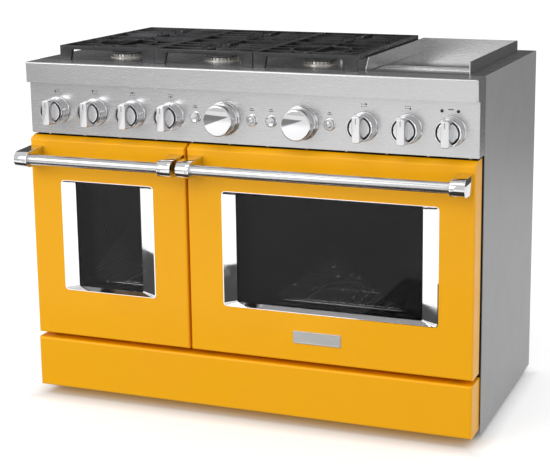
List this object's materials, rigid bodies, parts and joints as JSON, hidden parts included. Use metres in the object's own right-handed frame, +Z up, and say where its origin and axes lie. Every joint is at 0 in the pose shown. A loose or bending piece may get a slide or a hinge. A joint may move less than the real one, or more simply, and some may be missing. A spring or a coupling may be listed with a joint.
{
  "type": "freestanding gas range",
  "caption": "Wide freestanding range with two drop-down oven doors, gas burners under iron grates, a griddle and knobs on a steel front panel.",
  "frame": {"origin": "on the floor, at the middle of the width and of the whole depth including the handles", "axes": "+X to the range's right seen from the front, +Y to the back, +Z up"},
  "size_m": [1.216, 0.728, 0.95],
  "materials": {
    "yellow_enamel": "glossy",
    "grey_paint": "satin",
    "stainless": "brushed",
    "chrome": "polished",
    "black_iron": "matt",
    "enamelled_cavity": "glossy",
    "dark_glass": "glossy",
    "galvanised": "dull",
    "chassis_paint": "satin",
    "wire_plate": "bright",
    "heater_tube": "oxidised",
    "lamp_glass": "clear",
    "seal_weave": "woven",
    "mineral_wool": "fibrous",
    "burner_alloy": "cast",
    "griddle_steel": "polished",
    "foot_plastic": "matt",
    "vent_black": "matt",
    "indicator_plastic": "translucent",
    "gas_pipe": "plain",
    "motor_case": "satin"
  },
  "bodies": {
    "root": {"base_frame": "chassis_paint", "levelling_feet": "foot_plastic", "side_panels": "grey_paint", "back_panel": "galvanised", "kick_panel": "yellow_enamel", "oven_front_frame": "enamelled_cavity", "left_oven_liner": "enamelled_cavity", "right_oven_liner": "enamelled_cavity", "oven_insulation": "mineral_wool", "oven_racks": "wire_plate", "heating_elements": "heater_tube", "oven_lamps": "lamp_glass", "fan_baffle": "enamelled_cavity", "fan_motor": "motor_case", "oven_gaskets": "seal_weave", "door_hinge_arms": "galvanised", "cooktop_deck": "stainless", "front_trim": "stainless", "control_panel": "stainless", "knob_bezels": "chrome", "indicator_lenses": "indicator_plastic", "vent_trim": "vent_black", "gas_manifold": "gas_pipe", "burner_heads": "burner_alloy", "burner_caps": "black_iron", "griddle_frame": "stainless", "griddle_plate": "griddle_steel"},
    "left_door": {"left_door_skin": "yellow_enamel", "left_door_liner": "enamelled_cavity", "left_window_bezel": "chrome", "left_door_glass": "dark_glass", "left_door_hinges": "galvanised", "left_handle_bar": "stainless", "left_handle_brackets": "chrome"},
    "right_door": {"right_door_skin": "yellow_enamel", "right_door_liner": "enamelled_cavity", "right_window_bezel": "chrome", "right_door_glass": "dark_glass", "right_door_hinges": "galvanised", "right_handle_bar": "stainless", "right_handle_brackets": "chrome", "nameplate": "chrome"},
    "knob_burner_1": {"knob_burner_1": "chrome"},
    "knob_burner_2": {"knob_burner_2": "chrome"},
    "knob_burner_3": {"knob_burner_3": "chrome"},
    "knob_burner_4": {"knob_burner_4": "chrome"},
    "knob_burner_5": {"knob_burner_5": "chrome"},
    "knob_burner_6": {"knob_burner_6": "chrome"},
    "knob_griddle": {"knob_griddle": "chrome"},
    "knob_left_oven": {"knob_left_oven": "chrome"},
    "knob_right_oven": {"knob_right_oven": "chrome"},
    "button_1": {"button_1": "chrome"},
    "button_2": {"button_2": "chrome"},
    "button_3": {"button_3": "chrome"},
    "button_4": {"button_4": "chrome"},
    "grate_left": {"grate_left": "black_iron"},
    "grate_centre": {"grate_centre": "black_iron"},
    "grate_right": {"grate_right": "black_iron"},
    "grease_tray": {"grease_tray": "stainless"},
    "convection_fan": {"convection_fan": "galvanised"}
  },
  "joints": [
    {"name": "left_door_hinge", "type": "hinge", "parent": "root", "child": "left_door", "pos_m": [-0.379, -0.266, 0.187], "axis": [1, 0, 0], "range_deg": [0, 90]},
    {"name": "right_door_hinge", "type": "hinge", "parent": "root", "child": "right_door", "pos_m": [0.2285, -0.266, 0.187], "axis": [1, 0, 0], "range_deg": [0, 90]},
    {"name": "knob_burner_1_turn", "type": "hinge", "parent": "root", "child": "knob_burner_1", "pos_m": [-0.526, -0.29, 0.785], "axis": [0, -1, 0], "range_deg": [0, 230]},
    {"name": "knob_burner_2_turn", "type": "hinge", "parent": "root", "child": "knob_burner_2", "pos_m": [-0.415, -0.29, 0.785], "axis": [0, -1, 0], "range_deg": [0, 230]},
    {"name": "knob_burner_3_turn", "type": "hinge", "parent": "root", "child": "knob_burner_3", "pos_m": [-0.305, -0.29, 0.785], "axis": [0, -1, 0], "range_deg": [0, 230]},
    {"name": "knob_burner_4_turn", "type": "hinge", "parent": "root", "child": "knob_burner_4", "pos_m": [-0.196, -0.29, 0.785], "axis": [0, -1, 0], "range_deg": [0, 230]},
    {"name": "knob_burner_5_turn", "type": "hinge", "parent": "root", "child": "knob_burner_5", "pos_m": [0.321, -0.29, 0.785], "axis": [0, -1, 0], "range_deg": [0, 230]},
    {"name": "knob_burner_6_turn", "type": "hinge", "parent": "root", "child": "knob_burner_6", "pos_m": [0.432, -0.29, 0.785], "axis": [0, -1, 0], "range_deg": [0, 230]},
    {"name": "knob_griddle_turn", "type": "hinge", "parent": "root", "child": "knob_griddle", "pos_m": [0.54, -0.29, 0.785], "axis": [0, 1, 0], "range_deg": [0, 270]},
    {"name": "knob_left_oven_turn", "type": "hinge", "parent": "root", "child": "knob_left_oven", "pos_m": [-0.049, -0.29, 0.785], "axis": [0, 1, 0], "range_deg": [0, 290]},
    {"name": "knob_right_oven_turn", "type": "hinge", "parent": "root", "child": "knob_right_oven", "pos_m": [0.16, -0.29, 0.785], "axis": [0, 1, 0], "range_deg": [0, 290]},
    {"name": "button_1_press", "type": "slide", "parent": "root", "child": "button_1", "axis": [0, 1, 0], "range_m": [0, 0.002], "stiffness_N_per_m": 400},
    {"name": "button_2_press", "type": "slide", "parent": "root", "child": "button_2", "axis": [0, 1, 0], "range_m": [0, 0.002], "stiffness_N_per_m": 400},
    {"name": "button_3_press", "type": "slide", "parent": "root", "child": "button_3", "axis": [0, 1, 0], "range_m": [0, 0.002], "stiffness_N_per_m": 400},
    {"name": "button_4_press", "type": "slide", "parent": "root", "child": "button_4", "axis": [0, 1, 0], "range_m": [0, 0.002], "stiffness_N_per_m": 400},
    {"name": "grate_left_lift", "type": "slide", "parent": "root", "child": "grate_left", "axis": [0, 0, 1], "range_m": [0, 0.12]},
    {"name": "grate_centre_lift", "type": "slide", "parent": "root", "child": "grate_centre", "axis": [0, 0, 1], "range_m": [0, 0.12]},
    {"name": "grate_right_lift", "type": "slide", "parent": "root", "child": "grate_right", "axis": [0, 0, 1], "range_m": [0, 0.12]},
    {"name": "grease_tray_lift", "type": "slide", "parent": "root", "child": "grease_tray", "axis": [0, 0, 1], "range_m": [0, 0.1]},
    {"name": "fan_spin", "type": "hinge", "parent": "root", "child": "convection_fan", "pos_m": [0.228, 0.24, 0.445], "axis": [0, -1, 0], "continuous": true}
  ]
}
